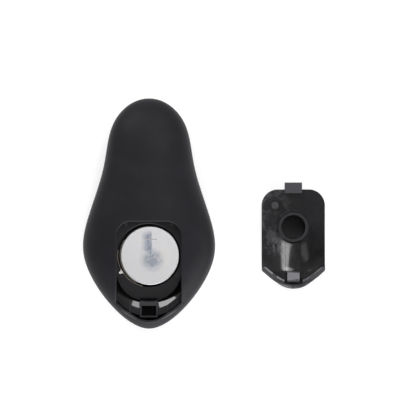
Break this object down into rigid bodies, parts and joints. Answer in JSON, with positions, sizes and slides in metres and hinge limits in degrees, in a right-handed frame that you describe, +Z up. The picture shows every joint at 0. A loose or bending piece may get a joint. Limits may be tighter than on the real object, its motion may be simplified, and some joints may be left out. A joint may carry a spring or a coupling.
{
  "type": "wireless flash trigger",
  "caption": "Pear-shaped hand-held radio trigger for studio flash, back up, with open coin-cell compartment and its door beside it",
  "frame": {"origin": "On the flat resting face of the front shell, straight below the axis of the round cell pocket", "axes": "The trigger lies on its front with its back up: +Z up, +Y from the pointed nose to the narrow head, +X to the right seen from above, where the battery door lies"},
  "size_m": [0.0831, 0.0788, 0.0199],
  "materials": {
    "shell_plastic": "fine matte spark-eroded black ABS",
    "tray_plastic": "black ABS, glossy in the trough and on the deck",
    "door_plastic": "black ABS, glossy inner side",
    "cell_steel": "bright nickel-plated stainless steel",
    "seal_plastic": "grey polypropylene seal",
    "contact_metal": "nickel-plated spring steel",
    "board_laminate": "green glass-fibre laminate",
    "screw_steel": "zinc-plated steel",
    "button_plastic": "dark grey ABS",
    "switch_plastic": "black nylon",
    "cover_steel": "tinned steel",
    "plunger_plastic": "black nylon",
    "window_plastic": "clear diffusing acrylic",
    "led_plastic": "clear epoxy on a white base",
    "chip_plastic": "black moulding compound",
    "capacitor_ceramic": "brown ceramic",
    "antenna_wire": "bright copper-coloured wire"
  },
  "bodies": {
    "housing": {"back_shell": "shell_plastic", "front_shell": "shell_plastic", "battery_tray": "tray_plastic", "positive_contact": "contact_metal", "negative_contact": "contact_metal", "circuit_board": "board_laminate", "board_screws": "screw_steel", "fire_switch_housing": "switch_plastic", "fire_switch_cover": "cover_steel", "power_switch_housing": "switch_plastic", "power_switch_cover": "cover_steel", "indicator_window": "window_plastic", "indicator_led": "led_plastic", "radio_chip": "chip_plastic", "controller_chip": "chip_plastic", "crystal_can": "cover_steel", "smd_capacitors": "capacitor_ceramic", "antenna_coil": "antenna_wire"},
    "battery_door": {"battery_door": "door_plastic"},
    "coin_cell": {"cell_can": "cell_steel", "cell_gasket": "seal_plastic", "cell_cap": "cell_steel"},
    "fire_button": {"fire_button": "button_plastic", "fire_switch_plunger": "plunger_plastic"},
    "power_button": {"power_button": "button_plastic", "power_switch_plunger": "plunger_plastic"}
  },
  "joints": [
    {"name": "battery_door_lift", "type": "slide", "parent": "housing", "child": "battery_door", "axis": [0, 0, 1], "range_m": [0, 0.06]},
    {"name": "coin_cell_lift", "type": "slide", "parent": "housing", "child": "coin_cell", "axis": [0, 0, 1], "range_m": [0, 0.02]},
    {"name": "fire_button_press", "type": "slide", "parent": "housing", "child": "fire_button", "axis": [0, 0, 1], "range_m": [0, 0.0003], "stiffness_N_per_m": 600, "springref_m": -0.001},
    {"name": "power_button_press", "type": "slide", "parent": "housing", "child": "power_button", "axis": [0, 0, 1], "range_m": [0, 0.0003], "stiffness_N_per_m": 600, "springref_m": -0.001}
  ]
}
